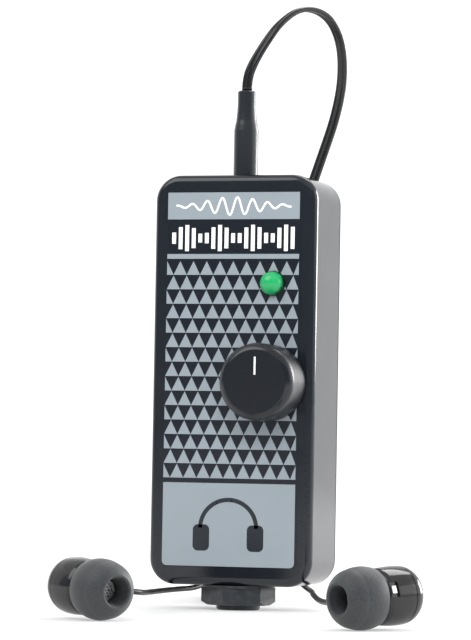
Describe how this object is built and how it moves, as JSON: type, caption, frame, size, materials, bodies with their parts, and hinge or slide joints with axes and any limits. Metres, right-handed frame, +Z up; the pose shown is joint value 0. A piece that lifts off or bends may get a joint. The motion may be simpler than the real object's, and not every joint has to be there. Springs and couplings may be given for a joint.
{
  "type": "headphone amplifier",
  "caption": "Pocket headphone amplifier in a slim upright case, with a front volume knob, a green status light, an input jack underneath and earphones plugged in on top.",
  "frame": {"origin": "The mouth of the input jack, on its axis, which is the lowest point of the amplifier.", "axes": "+Z runs up the case to the headphone jack, whose axis is the same line. -Y is the front with the knob. +X is to the right seen from the front."},
  "size_m": [0.079, 0.1392, 0.1293],
  "materials": {
    "case_plastic": "gloss near-black moulding",
    "label_ink": "grey-blue print on the near-black front",
    "steel": "plain steel",
    "jack_metal": "blackened metal, satin",
    "knob_plastic": "satin black moulding",
    "pointer_white": "white filled line",
    "black_plastic": "plain black moulding",
    "wiper_plastic": "natural nylon",
    "tinned": "tinned metal",
    "green_lens": "green tinted lens",
    "board": "green solder mask",
    "cell_wrap": "printed wrap with no marks",
    "overmould_rubber": "satin moulded rubber",
    "plug_plating": "gold plated",
    "cord_sheath": "soft black sheath, slightly glossy",
    "lead_sheath": "soft black-brown sheath",
    "tie_band": "black hook-and-loop band",
    "tip_silicone": "matte dark grey silicone",
    "bud_gloss": "high gloss black moulding",
    "grille_steel": "fine perforated steel",
    "side_white": "white insert"
  },
  "bodies": {
    "root": {"amplifier_chip": "black_plastic", "back_cover": "case_plastic", "battery": "cell_wrap", "battery_holder": "black_plastic", "battery_minus_leaf": "steel", "battery_plus_plate": "steel", "board_screws": "steel", "capacitors": "tinned", "circuit_board": "board", "cord_hank": "cord_sheath", "cord_slider": "overmould_rubber", "cover_screws": "steel", "front_label": "label_ink", "front_shell": "case_plastic", "hank_tie": "tie_band", "input_jack_body": "black_plastic", "input_jack_bushing": "jack_metal", "input_jack_nut": "jack_metal", "input_jack_washer": "jack_metal", "input_terminals": "tinned", "input_tip_spring": "steel", "led_legs": "tinned", "left_bud_cap": "bud_gloss", "left_bud_driver": "grille_steel", "left_bud_grille": "grille_steel", "left_bud_housing": "bud_gloss", "left_bud_nozzle": "bud_gloss", "left_bud_relief": "overmould_rubber", "left_ear_tip": "tip_silicone", "left_lead": "lead_sheath", "main_cord": "cord_sheath", "phones_jack_body": "black_plastic", "phones_jack_contacts": "tinned", "pot_body": "black_plastic", "pot_bushing": "steel", "pot_nut": "steel", "pot_pins": "tinned", "pot_washer": "steel", "resistors": "tinned", "right_bud_cap": "bud_gloss", "right_bud_driver": "grille_steel", "right_bud_grille": "grille_steel", "right_bud_housing": "bud_gloss", "right_bud_nozzle": "bud_gloss", "right_bud_relief": "overmould_rubber", "right_ear_tip": "tip_silicone", "right_lead": "lead_sheath", "side_mark": "side_white", "status_led": "green_lens"},
    "knob": {"volume_knob": "knob_plastic", "knob_pointer": "pointer_white", "pot_shaft": "steel", "pot_wiper": "wiper_plastic"},
    "plug": {"plug_overmould": "overmould_rubber", "plug_sleeve": "plug_plating", "plug_insulators": "black_plastic", "plug_ring": "plug_plating", "plug_tip": "plug_plating"}
  },
  "joints": [
    {"name": "volume_turn", "type": "hinge", "parent": "root", "child": "knob", "pos_m": [0.0081, -0.0074, 0.0476], "axis": [0, 1, 0], "range_deg": [-140, 140]},
    {"name": "plug_pull", "type": "slide", "parent": "root", "child": "plug", "axis": [0, 0, 1], "range_m": [0, 0.0145], "deforming": ["main_cord"]}
  ]
}
